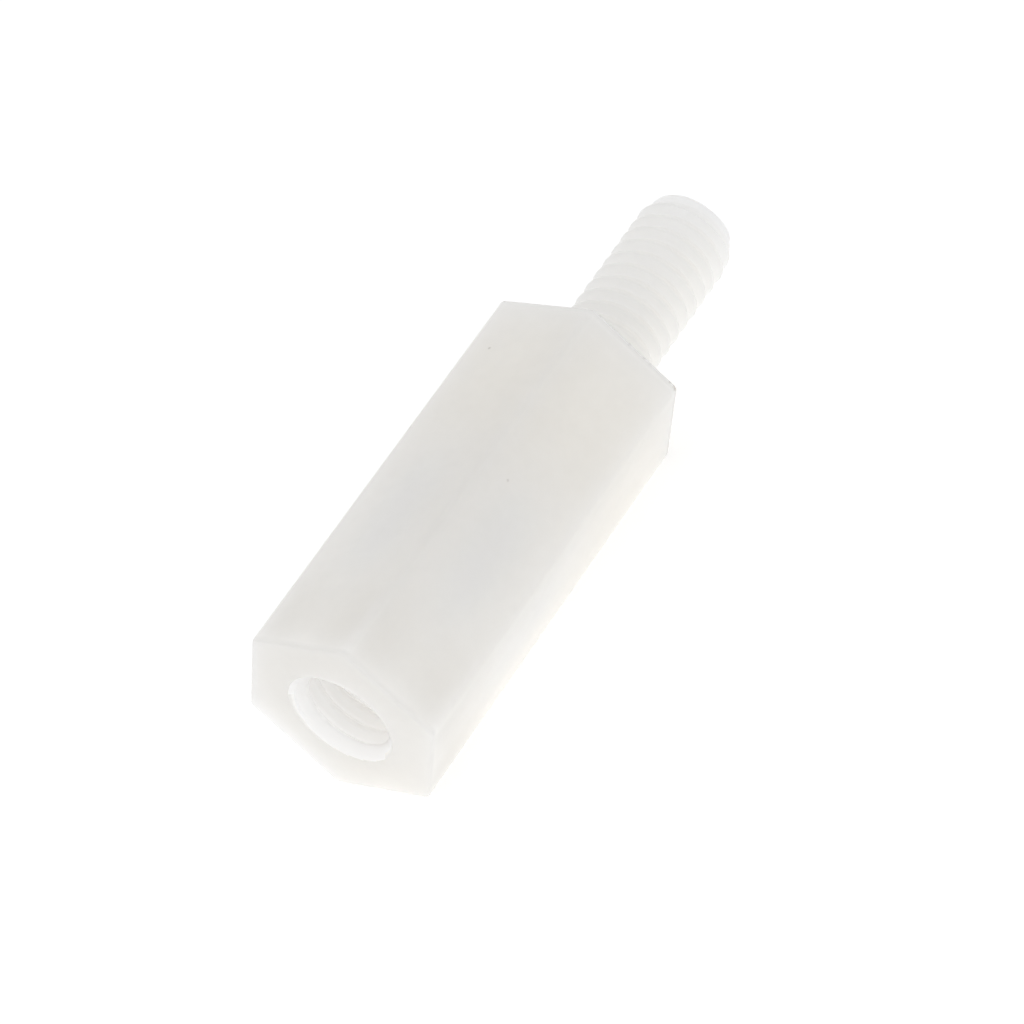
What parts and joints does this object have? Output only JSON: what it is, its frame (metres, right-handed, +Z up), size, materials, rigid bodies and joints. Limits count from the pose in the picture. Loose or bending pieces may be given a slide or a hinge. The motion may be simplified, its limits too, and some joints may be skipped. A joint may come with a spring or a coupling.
{
  "type": "hex standoff",
  "caption": "Male-female hex standoff in natural nylon: a hexagonal spacer with a threaded stud on one end and a blind threaded hole in the other, for holding a circuit board off a panel.",
  "frame": {"origin": "under the middle of the overall length, on the surface that the standoff's bottom flat lies on", "axes": "+X along the standoff's axis towards the tip of the stud, +Z up out of the top flat, +Y to the left when looking along +X"},
  "size_m": [0.019, 0.0062, 0.0055],
  "materials": {
    "nylon": "natural translucent nylon, satin as moulded"
  },
  "bodies": {
    "root": {"hex_standoff": "nylon"}
  },
  "joints": []
}
